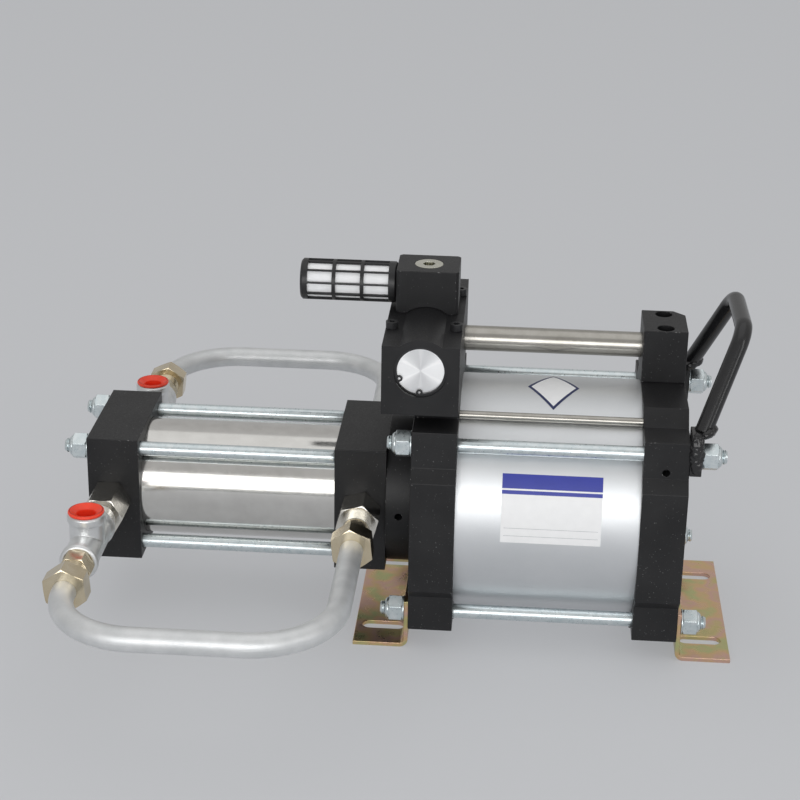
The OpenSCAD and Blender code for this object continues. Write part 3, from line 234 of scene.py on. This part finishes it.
BLACK = black_anodised("black_anodised", 0.9 * MM, 0.77, (0.11, 0.11, 0.11))
BLACK_EDGE = black_anodised("black_edge", 1.3 * MM, 0.72, (0.20, 0.20, 0.20))
BARREL = metal("barrel_silver", ((0.70, 0.72, 0.735), (0.74, 0.755, 0.77)), (0.42, 0.48), 2.0 * MM,
               0.001 * MM, size=40 * MM)
CYLINDER = metal("cylinder_steel", ((0.62, 0.61, 0.585), (0.68, 0.67, 0.645)), (0.12, 0.17), 2.5 * MM,
                 0.001 * MM)
ZINC = metal("zinc", ((0.60, 0.675, 0.695), (0.74, 0.79, 0.80)), (0.26, 0.36), 2.0 * MM, 0.003 * MM,
             size=4 * MM)
YELLOW = yellow_zinc()
HANDLE = plastic("handle_paint", (0.014, 0.014, 0.015), 0.2)
BLACK_STEEL = metal("black_steel", ((0.018, 0.018, 0.02), (0.035, 0.035, 0.037)), (0.3, 0.4), 0.8 * MM,
                    0.01 * MM, metallic=0.4)
TURNED_PAINTED_RAYS = turned("turned_aluminium")
PORT_PLUG = metal("port_plug", ((0.60, 0.59, 0.51), (0.70, 0.69, 0.61)), (0.22, 0.3), 2.0 * MM, 0.003 * MM)
CAGE = plastic("silencer_plastic", (0.014, 0.014, 0.015), 0.36)
FELT = plastic("silencer_felt", (0.95, 0.96, 0.97), 0.8, fall=0.94)
TUBE = metal("tube_steel", ((0.38, 0.365, 0.33), (0.45, 0.435, 0.40)), (0.2, 0.26), 2.0 * MM, 0.001 * MM)
STEEL = metal("plain_steel", ((0.55, 0.56, 0.58), (0.66, 0.67, 0.69)), (0.26, 0.36), 0.8 * MM, 0.01 * MM)
SPRING = metal("spring_steel", ((0.45, 0.46, 0.48), (0.55, 0.56, 0.58)), (0.28, 0.36), 0.8 * MM, 0.01 * MM)
BRONZE = metal("bronze", ((0.55, 0.40, 0.19), (0.66, 0.48, 0.25)), (0.28, 0.38), 0.8 * MM, 0.01 * MM)
RUBBER = plastic("gasket_rubber", (0.02, 0.02, 0.02), 0.7)
FITTING = metal("fitting_steel", ((0.60, 0.58, 0.53), (0.70, 0.68, 0.63)), (0.18, 0.26), 3.0 * MM,
                0.004 * MM)
POPPET = metal("poppet_brass", ((0.66, 0.52, 0.25), (0.74, 0.6, 0.32)), (0.26, 0.34), 0.8 * MM, 0.01 * MM)
TEE = metal("tee_casting", ((0.70, 0.71, 0.71), (0.79, 0.80, 0.80)), (0.32, 0.46), 0.8 * MM, 0.05 * MM)
RED = plastic("dust_plug_red", (0.92, 0.06, 0.022), 0.35, fall=0.94)
PIPE_ZINC = metal("pipe_zinc", ((0.60, 0.51, 0.35), (0.69, 0.61, 0.46)), (0.15, 0.21), 4.0 * MM, 0.002 * MM)
PIPE = metal("pipe_steel", ((0.65, 0.665, 0.67), (0.75, 0.76, 0.765)), (0.42, 0.54), 1.2 * MM, 0.012 * MM,
             metallic=0.75)
PISTON = metal("piston_aluminium", ((0.66, 0.67, 0.69), (0.76, 0.77, 0.79)), (0.28, 0.36), 0.8 * MM,
               0.01 * MM)
CHROME = metal("rod_chrome", ((0.76, 0.77, 0.79), (0.84, 0.85, 0.87)), (0.08, 0.14), 0.8 * MM, 0.005 * MM)
LABEL_WHITE = plastic("label_white", (0.88, 0.885, 0.89), 0.4, fall=0.97)
LABEL_BLUE = plastic("label_blue", (0.035, 0.05, 0.36), 0.4, fall=0.94)
LABEL_GREY = plastic("label_grey", (0.5, 0.51, 0.53), 0.5)
LABEL_NAVY = plastic("label_navy", (0.01, 0.02, 0.1), 0.4)

SLOT_MATERIAL = {
    "black_anodised": BLACK, "barrel_silver": BARREL, "cylinder_steel": CYLINDER, "zinc": ZINC,
    "yellow_zinc": YELLOW, "handle_paint": HANDLE, "black_steel": BLACK_STEEL, "turned_aluminium": TURNED_PAINTED_RAYS,
    "port_plug": PORT_PLUG, "silencer_plastic": CAGE, "silencer_felt": FELT, "tube_steel": TUBE,
    "plain_steel": STEEL, "spring_steel": SPRING, "bronze": BRONZE, "gasket_rubber": RUBBER,
    "fitting_steel": FITTING, "poppet_brass": POPPET, "tee_casting": TEE, "dust_plug_red": RED,
    "pipe_zinc": PIPE_ZINC, "pipe_steel": PIPE, "piston_aluminium": PISTON, "rod_chrome": CHROME,
}

# Width of the broken edges on the solids that are seen, in metres
EDGE_WIDTH = {
    "black_anodised": 0.5 * MM, "zinc": 0.3 * MM, "yellow_zinc": 0.4 * MM, "black_steel": 0.25 * MM,
    "port_plug": 0.4 * MM, "silencer_plastic": 0.25 * MM, "fitting_steel": 0.5 * MM, "tee_casting": 0.6 * MM,
    "dust_plug_red": 0.4 * MM, "pipe_zinc": 0.5 * MM, "handle_paint": 0.5 * MM,
}

# Limits of the modifiers that break the edges
SAME_POINT = 0.002 * MM
FLAT_ANGLE = math.radians(0.1)
SHARP_ANGLE = math.radians(32)
FACE_WEIGHT = 60

# Slots of hexagon fittings, whose chamfers have edges shorter than that width
SHORT_EDGES = ("fitting_steel", "pipe_zinc")

# Solids that keep their own normals, as their crest is a fan of long thin faces
OWN_NORMALS = ("valve_body",)


def soften(obj, width, clamp, edge_slot=None):
    """Breaks the sharp edges of a solid with a small round, by modifiers alone."""
    weld = obj.modifiers.new("weld", "WELD")
    weld.merge_threshold = SAME_POINT
    flat = obj.modifiers.new("flat", "DECIMATE")
    flat.decimate_type = "DISSOLVE"
    flat.angle_limit = FLAT_ANGLE
    bevel = obj.modifiers.new("edges", "BEVEL")
    bevel.limit_method = "ANGLE"
    bevel.angle_limit = SHARP_ANGLE
    bevel.width = width
    bevel.segments = 2
    bevel.use_clamp_overlap = clamp
    if edge_slot is not None:
        bevel.material = edge_slot
    even = obj.modifiers.new("even", "WEIGHTED_NORMAL")
    even.weight = FACE_WEIGHT


def smooth(mesh):
    """Shades every face smooth, with no stored normals."""
    if "custom_normal" in mesh.attributes:
        mesh.attributes.remove(mesh.attributes["custom_normal"])
    for polygon in mesh.polygons:
        polygon.use_smooth = True


def dress_solids():
    """Gives every solid its material, and broken edges to those that are seen."""
    slot_of = {part["node"]: part["material_slot"] for part in frame["record"]["subparts"]}
    for name, obj in NODES.items():
        slot = slot_of[name]
        obj.data.materials.clear()
        obj.data.materials.append(SLOT_MATERIAL[slot])
        if slot in EDGE_WIDTH and name not in OWN_NORMALS:
            smooth(obj.data)
            edge_slot = None
            if slot == "black_anodised":
                obj.data.materials.append(BLACK_EDGE)
                edge_slot = 1
            soften(obj, EDGE_WIDTH[slot], slot in SHORT_EDGES, edge_slot)


# Made pieces

def new_piece(name, mesh, material, body="frame"):
    """A made piece that rides on a body, in the material given."""
    obj = bpy.data.objects.new(name, mesh)
    bpy.context.scene.collection.objects.link(obj)
    mesh.materials.append(material)
    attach(obj, body)
    return obj


def lathe(bm, profile, place, sides):
    """A closed solid of revolution about Z, moved by a matrix: profile is (radius, z) from end to end."""
    join_rings(bm, [plain_ring(bm, place, radius, z, sides) for radius, z in profile])


def join_rings(bm, rings):
    """Skins a list of rings of vertices, and closes both ends."""
    sides = len(rings[0])
    for low, high in zip(rings, rings[1:]):
        for i in range(sides):
            k = (i + 1) % sides
            bm.faces.new((low[i], low[k], high[k], high[i]))
    bm.faces.new(list(reversed(rings[0])))
    bm.faces.new(rings[-1])


def thread_rings(bm, place, radius, depth, pitch, start, end, sides=32, steps=6):
    """Rings of a screw thread about Z from start to end, with a narrow flat along its crest."""
    flank = 1.25
    count = max(2, round((end - start) / pitch * steps))
    rings = []
    for i in range(count + 1):
        z = start + (end - start) * i / count
        ring = []
        for j in range(sides):
            turn = j / sides
            phase = (z / pitch - turn) % 1
            wave = 1 - abs(2 * phase - 1)
            r = radius - depth * (1 - min(1, flank * wave))
            a = 2 * math.pi * turn
            ring.append(bm.verts.new(place @ Vector((r * math.cos(a), r * math.sin(a), z))))
        rings.append(ring)
    return rings


def plain_ring(bm, place, radius, z, sides=32):
    """One round ring about Z."""
    return [
        bm.verts.new(place @ Vector((radius * math.cos(a), radius * math.sin(a), z)))
        for a in (2 * math.pi * i / sides for i in range(sides))]


def finish_mesh(bm, name, sharp=35):
    """A smooth mesh from a bmesh, sharp where it turns by more than that many degrees."""
    bmesh.ops.recalc_face_normals(bm, faces=bm.faces)
    mesh = bpy.data.meshes.new(name)
    bm.to_mesh(mesh)
    bm.free()
    for polygon in mesh.polygons:
        polygon.use_smooth = True
    mesh.set_sharp_from_angle(angle=math.radians(sharp))
    return mesh


# Turns that lay the Z axis along X and along Y
ALONG_X = Matrix(((0, 0, 1, 0), (1, 0, 0, 0), (0, 1, 0, 0), (0, 0, 0, 1)))
ALONG_Y = Matrix(((1, 0, 0, 0), (0, 0, 1, 0), (0, -1, 0, 0), (0, 0, 0, 1)))


def rod_ends(node, y, z):
    """Where the solid rod nearest to a line along X starts and stops."""
    ends = [
        point.x for point in (vertex.co for vertex in NODES[node].data.vertices)
        if math.hypot(point.y - y, point.z - z) < 2 * TIE_R]
    return min(ends), max(ends)


def tie_rods(node, left_thread, right_thread):
    """Four tie rods with cut threads at their ends, in place of the plain ones."""
    low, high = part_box(node)

    def cut(place, start, end):
        """The rings of one threaded end."""
        return thread_rings(bm, place, TIE_R, TIE_THREAD_DEPTH, TIE_PITCH, start, end)

    bm = bmesh.new()
    for y in (low.y + TIE_R, high.y - TIE_R):
        for z in (low.z + TIE_R, high.z - TIE_R):
            start, end = rod_ends(node, y, z)
            place = Matrix.Translation((0, y, z)) @ ALONG_X
            rings = [plain_ring(bm, place, TIE_END_R, start)]
            rings += cut(place, start + TIE_TIP, start + left_thread)
            rings += [
                plain_ring(bm, place, TIE_R, start + left_thread + TIE_TIP),
                plain_ring(bm, place, TIE_R, end - right_thread - TIE_TIP)]
            rings += cut(place, end - right_thread, end - TIE_TIP)
            rings.append(plain_ring(bm, place, TIE_END_R, end))
            join_rings(bm, rings)
    piece = new_piece(node + "_threaded", finish_mesh(bm, node + "_threaded"), ZINC)
    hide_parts(node)


def thread_band(bm, place, radius, depth, pitch, start, end):
    """A closed band of screw thread about Z, sunk at both ends into the neck that carries it."""
    sunk = radius - 2 * depth
    rings = [plain_ring(bm, place, sunk, start)]
    rings += thread_rings(bm, place, radius, depth, pitch, start, end)
    rings.append(plain_ring(bm, place, sunk, end))
    join_rings(bm, rings)


def line_threads(name, material, valve_side, pipe_side, crest):
    """Threads that show on both left gas lines, between two distances from the rod's axis."""
    low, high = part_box("inlet_tee")
    x = (low.x + high.x) / 2
    valves_low, valves_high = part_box("check_valve_bodies")
    z = (valves_low.z + valves_high.z) / 2
    place = Matrix.Translation((x, 0, z)) @ ALONG_Y
    bm = bmesh.new()
    for side in (-1, 1):
        start, end = sorted((side * valve_side, side * pipe_side))
        thread_band(bm, place, crest, LINE_THREAD_DEPTH, LINE_PITCH, start, end)
    new_piece(name, finish_mesh(bm, name), material)


def fitting_threads():
    """Threads seen between the check valves and the tees, and between the adaptors and the pipe nuts."""
    low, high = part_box("inlet_tee")
    tee_start = -high.y
    tee_end = -low.y
    neck_r = 10.6 * MM
    adaptor_r = 9.9 * MM
    neck_from = tee_start - 10.8 * MM
    neck_to = tee_start + 1.5 * MM
    adaptor_from = tee_end + 13.6 * MM
    adaptor_to = tee_end + 25.5 * MM
    line_threads("neck_threads", FITTING, neck_from, neck_to, neck_r)
    line_threads("adaptor_threads", PIPE_ZINC, adaptor_from, adaptor_to, adaptor_r)


# Height and count per metre of the lumps on a bead of weld
WELD_LUMPS = ((0.22, 170), (0.18, 430), (0.08, 900))


def weld_bead(bm, points, radius, seed):
    """A lumpy bead of weld along a line of points, with both ends drawn in."""
    end_fall = 0.35
    end_gap = 0.6
    sides = 28
    steps_between = 15
    path = []
    for start, end in zip(points, points[1:]):
        path += [start.lerp(end, i / steps_between) for i in range(steps_between)]
    path.append(points[-1])
    rings = []
    heading = (path[1] - path[0]).normalized()
    across = heading.orthogonal().normalized()
    for i, centre in enumerate(path):
        ahead = (path[min(i + 1, len(path) - 1)] - path[max(i - 1, 0)]).normalized()
        across = heading.rotation_difference(ahead) @ across
        heading = ahead
        upward = heading.cross(across)
        along = (i + end_gap) / (len(path) - 1 + 2 * end_gap)
        taper = math.sin(math.pi * along) ** end_fall
        ring = []
        for j in range(sides):
            a = 2 * math.pi * j / sides
            out = across * math.cos(a) + upward * math.sin(a)
            spot = centre + out * radius + Vector((seed * MM, 0, 0))
            lump = sum(height * noise.noise(spot * rate) for height, rate in WELD_LUMPS)
            ring.append(bm.verts.new(centre + out * radius * taper * (1 + lump)))
        rings.append(ring)
    join_rings(bm, rings)


def welds():
    """Weld beads that hold the handle's bar to its two lugs."""
    low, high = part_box("carry_handle")
    lug_x = low.x + 4 * MM
    lug_edge = high.y - 2.0 * MM
    lug_foot = low.z + 1 * MM
    lug_top = low.z + 31 * MM
    lug_bead_r = 5.2 * MM
    lug_seed = 37
    bar = Vector((low.x + 8 * MM, 66.3 * MM, 170.5 * MM))
    bar_r = 6 * MM
    bar_tilt = 2.5 * MM
    bar_bead_r = 3.6 * MM
    bar_seed = 91
    first_turn = -200
    whole_turn = 320
    bm = bmesh.new()
    for side in (-1, 1):
        edge = lug_edge * side
        down = [Vector((lug_x, edge, lug_foot + (lug_top - lug_foot) * i / 4)) for i in range(5)]
        weld_bead(bm, down, lug_bead_r, lug_seed * side)
        round_foot = []
        for i in range(9):
            a = math.radians(first_turn + whole_turn * i / 8)
            x = bar.x + bar_r * math.cos(a)
            y = side * (bar.y + bar_r * math.sin(a))
            round_foot.append(Vector((x, y, bar.z + bar_tilt * math.cos(a))))
        weld_bead(bm, round_foot, bar_bead_r, bar_seed * side)
    new_piece("handle_welds", finish_mesh(bm, "handle_welds", sharp=90), HANDLE)


def barrel_point(x, angle, radius):
    """A point on the barrel: angle is above the level of the axis, on the front."""
    return Vector((x, -radius * math.cos(angle), AXIS_Z + radius * math.sin(angle)))


def barrel_patch(name, material, x, angle, half_w, half_h, lift, diamond=False):
    """A thin sheet on the barrel about x and angle: a rectangle, or a diamond of those half diagonals."""
    across = 12
    around = 20
    thick = 0.12 * MM
    bm = bmesh.new()
    layers = []
    for radius in (BARREL_R + lift, BARREL_R + lift + thick):
        grid = []
        for j in range(around + 1):
            t = 2 * j / around - 1
            row = []
            for i in range(across + 1):
                s = 2 * i / across - 1
                u, v = ((s + t) / 2, (t - s) / 2) if diamond else (s, t)
                turn = angle + v * half_h / BARREL_R
                row.append(bm.verts.new(barrel_point(x + u * half_w, turn, radius)))
            grid.append(row)
        layers.append(grid)
    inner, outer = layers
    for j in range(around):
        for i in range(across):
            for grid in (inner, outer):
                bm.faces.new((grid[j][i], grid[j][i + 1], grid[j + 1][i + 1], grid[j + 1][i]))
    rim_in = rim(inner)
    rim_out = rim(outer)
    for k in range(len(rim_in)):
        n = (k + 1) % len(rim_in)
        bm.faces.new((rim_in[k], rim_in[n], rim_out[n], rim_out[k]))
    return new_piece(name, finish_mesh(bm, name), material)


def rim(grid):
    """The vertices round the edge of a grid, in order."""
    first = grid[0]
    last = grid[-1]
    right = [row[-1] for row in grid[1:-1]]
    left = [row[0] for row in grid[1:-1]]
    return first + right + list(reversed(last)) + list(reversed(left))


def labels():
    """A bare label with a coloured head on the front of the barrel, and a bare diamond on its top."""
    left = -31.5 * MM
    right = 37.0 * MM
    top = math.radians(32.5)
    bottom = math.radians(-0.4)
    x = (left + right) / 2
    half_w = (right - left) / 2
    height = (top - bottom) * BARREL_R

    def strip(name, material, start, end, lift, inset=0.0):
        """A strip of the label between two fractions of its height, counted from the top."""
        angle = top - (top - bottom) * (start + end) / 2
        barrel_patch(name, material, x, angle, half_w - inset, height * (end - start) / 2, lift)

    base_lift = 0.05 * MM
    print_lift = 0.10 * MM
    rule_inset = 2 * MM
    strip("label_plate", LABEL_WHITE, 0, 1, base_lift)
    strip("label_head", LABEL_BLUE, 0, 0.21, print_lift)
    strip("label_head_line", LABEL_BLUE, 0.235, 0.29, print_lift)
    strip("label_rule_upper", LABEL_GREY, 0.778, 0.784, print_lift, rule_inset)
    strip("label_rule_lower", LABEL_GREY, 0.893, 0.899, print_lift, rule_inset)
    diamond_x = 1.5 * MM
    diamond_angle = math.radians(85.7)
    border = 0.87
    diamond_w = 18 * MM
    diamond_h = 27 * MM
    barrel_patch("diamond_plate", LABEL_NAVY, diamond_x, diamond_angle, diamond_w, diamond_h, base_lift,
                 diamond=True)
    barrel_patch("diamond_face", LABEL_WHITE, diamond_x, diamond_angle, diamond_w * border,
                 diamond_h * border, print_lift, diamond=True)


def end_discs():
    """The valve's turned end discs, each about its own axis."""
    low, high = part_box("valve_end_discs")
    centre = (low + high) / 2
    radius = (high.x - low.x) / 2
    thick = 6 * MM
    edge = 0.4 * MM
    groove = 0.03 * MM
    ring_step = 0.75 * MM
    sides = 96
    rings = int((radius - edge) / ring_step)
    profile = [(radius, -thick), (radius, -edge)]
    profile += [(ring_step * i, -groove * (i % 2)) for i in range(rings, 0, -1)]
    profile.append((0.05 * MM, 0))
    for name, side in (("valve_disc_front", -1), ("valve_disc_rear", 1)):
        bm = bmesh.new()
        lathe(bm, profile, Matrix.Identity(4), sides)
        mesh = finish_mesh(bm, name)
        obj = bpy.data.objects.new(name, mesh)
        bpy.context.scene.collection.objects.link(obj)
        mesh.materials.append(TURNED_PAINTED_RAYS)
        obj.location = (centre.x, low.y if side < 0 else high.y, centre.z)
        obj.rotation_euler = (math.radians(-90 * side), 0, 0)
        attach(obj, "frame")
        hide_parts("valve_end_discs")


def coil_springs():
    """Copies of the springs' solids in spring steel, in place of the rigid ones."""
    for joint in frame["record"]["behaviour"]["joints"]:
        for spring in joint.get("deforming_nodes", []):
            node = spring["node"]
            mesh = NODES[node].data.copy()
            mesh.materials.clear()
            piece = new_piece(node + "_coil", mesh, SPRING)
            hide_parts(node)
            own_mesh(piece)


# Stage

def lamp(name, place, target, width, height, power):
    """A soft light of that width and height, aimed at a point."""
    light = bpy.data.lights.new(name, "AREA")
    light.shape = "RECTANGLE"
    light.size = width
    light.size_y = height
    light.energy = power
    obj = bpy.data.objects.new(name, light)
    obj.location = place
    obj.rotation_euler = (Vector(target) - Vector(place)).to_track_quat("-Z", "Y").to_euler()
    bpy.context.scene.collection.objects.link(obj)


def floor_material():
    """A pale floor that keeps half of the object's shadow, and half its even colour where it is seen."""
    pale = (0.58, 0.59, 0.61)
    made, shader = principled("floor", pale, 0.0, 0.8)
    tree = made.node_tree
    rays = add_node(tree, "ShaderNodeLightPath")
    mirrored = add_node(tree, "ShaderNodeMath", {"operation": "MAXIMUM"}, {
        0: rays.outputs["Is Glossy Ray"], 1: rays.outputs["Is Transmission Ray"]})
    seen = add_node(tree, "ShaderNodeMath", {"operation": "MAXIMUM"}, {
        0: rays.outputs["Is Camera Ray"], 1: mirrored.outputs["Value"]})
    half = add_node(tree, "ShaderNodeMath", {"operation": "MULTIPLY"}, {0: seen.outputs["Value"], 1: 0.5})
    even = add_node(tree, "ShaderNodeEmission", inputs={"Color": (*pale, 1), "Strength": 1.0})
    mix = add_node(tree, "ShaderNodeMixShader", inputs={
        0: half.outputs["Value"], 1: shader.outputs["BSDF"], 2: even.outputs["Emission"]})
    tree.links.new(mix.outputs["Shader"], tree.nodes["Material Output"].inputs["Surface"])
    return made


def stage():
    """A pale floor, a plain world and soft lights."""
    floor_made = floor_material()
    reach = 8
    mesh = bpy.data.meshes.new("floor")
    mesh.from_pydata([(-reach, -reach, 0), (reach, -reach, 0), (reach, reach, 0), (-reach, reach, 0)], [],
                     [(0, 1, 2, 3)])
    mesh.materials.append(floor_made)
    floor = bpy.data.objects.new("floor", mesh)
    bpy.context.scene.collection.objects.link(floor)

    world = bpy.data.worlds.new("studio")
    bpy.context.scene.world = world
    world.use_nodes = True
    tree = world.node_tree
    background = tree.nodes["Background"]
    coords = add_node(tree, "ShaderNodeTexCoord")
    split = add_node(tree, "ShaderNodeSeparateXYZ", inputs={"Vector": coords.outputs["Generated"]})
    sky = shades(tree, spread(tree, split.outputs["Z"], 0, 1, 0.0, 1.0), [
        (0.0, (0.48, 0.48, 0.48)), (0.6, (0.52, 0.515, 0.51)), (1.0, (0.62, 0.62, 0.62))])
    tree.links.new(sky, background.inputs["Color"])
    background.inputs["Strength"].default_value = 1.0

    target = (-0.1, 0, 0.1)
    lamp("key", (-0.3, -2.0, 0.62), target, width=2.2, height=0.9, power=17)
    lamp("top", (-0.1, 0.1, 2.3), target, width=2.4, height=2.4, power=6)
    lamp("side", (1.5, -1.1, 0.75), target, width=0.25, height=1.2, power=3)


def camera():
    """The photograph's camera."""
    az, el = CAMERA_AZIMUTH, CAMERA_ELEVATION
    back = Vector((math.sin(az) * math.cos(el), -math.cos(az) * math.cos(el), math.sin(el)))
    right = Vector((math.cos(az), math.sin(az), 0))
    down = -back.cross(right)
    x_axis = right * math.cos(CAMERA_ROLL) + down * math.sin(CAMERA_ROLL)
    y_axis = back.cross(x_axis)
    turn = Matrix((x_axis, y_axis, back)).transposed().to_4x4()
    data = bpy.data.cameras.new("camera")
    data.sensor_width = SENSOR_MM
    data.lens = FOCAL_PX / IMAGE_PX * SENSOR_MM
    obj = bpy.data.objects.new("camera", data)
    obj.matrix_world = Matrix.Translation(CAMERA_AIM + back * CAMERA_DISTANCE) @ turn
    bpy.context.scene.collection.objects.link(obj)
    bpy.context.scene.camera = obj


camera()
stage()
dress_solids()
tie_rods("drive_tie_rods", DRIVE_THREAD, DRIVE_THREAD)
tie_rods("gas_tie_rods", GAS_THREAD_LEFT, GAS_THREAD_RIGHT)
fitting_threads()
welds()
labels()
end_discs()
coil_springs()

bpy.context.scene.view_settings.view_transform = "Standard"
